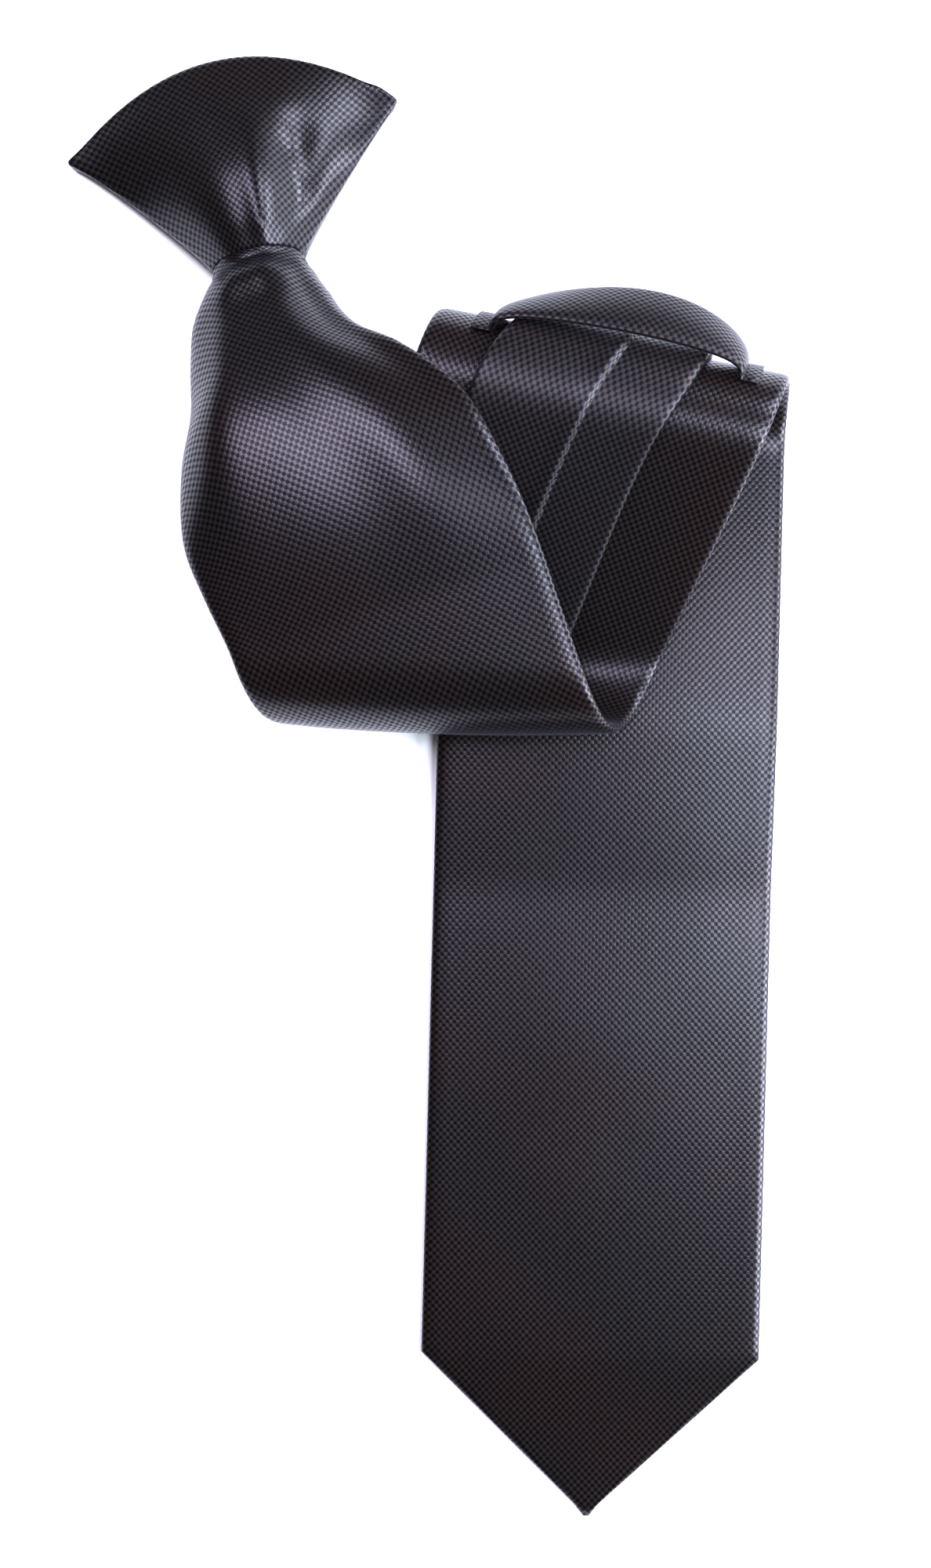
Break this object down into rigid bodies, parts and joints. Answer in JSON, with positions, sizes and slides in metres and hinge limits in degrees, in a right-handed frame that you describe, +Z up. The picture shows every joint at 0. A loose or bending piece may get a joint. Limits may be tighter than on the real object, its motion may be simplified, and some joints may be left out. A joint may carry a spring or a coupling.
{
  "type": "clip-on tie",
  "caption": "Dark woven clip-on tie lying folded in three, with a fan-shaped knot, a narrow tail held in a cloth keeper, and a metal collar clip hidden in the knot.",
  "frame": {"origin": "centre of the bounding box, at the table that the folded tie lies on", "axes": "+Z up from the table, -Y towards the blade's tip, +Y towards the knot, +X to the right as seen from above with the tip nearest"},
  "size_m": [0.1734, 0.3534, 0.0433],
  "materials": {
    "cloth": "dark charcoal basket-weave satin with a soft blue-grey sheen",
    "cloth_back": "the back of the same cloth, a little duller and darker",
    "clip_metal": "nickel-plated spring steel strip"
  },
  "bodies": {
    "root": {"blade": "cloth", "tail": "cloth_back", "keeper": "cloth_back", "knot": "cloth", "clip": "clip_metal"}
  },
  "joints": []
}
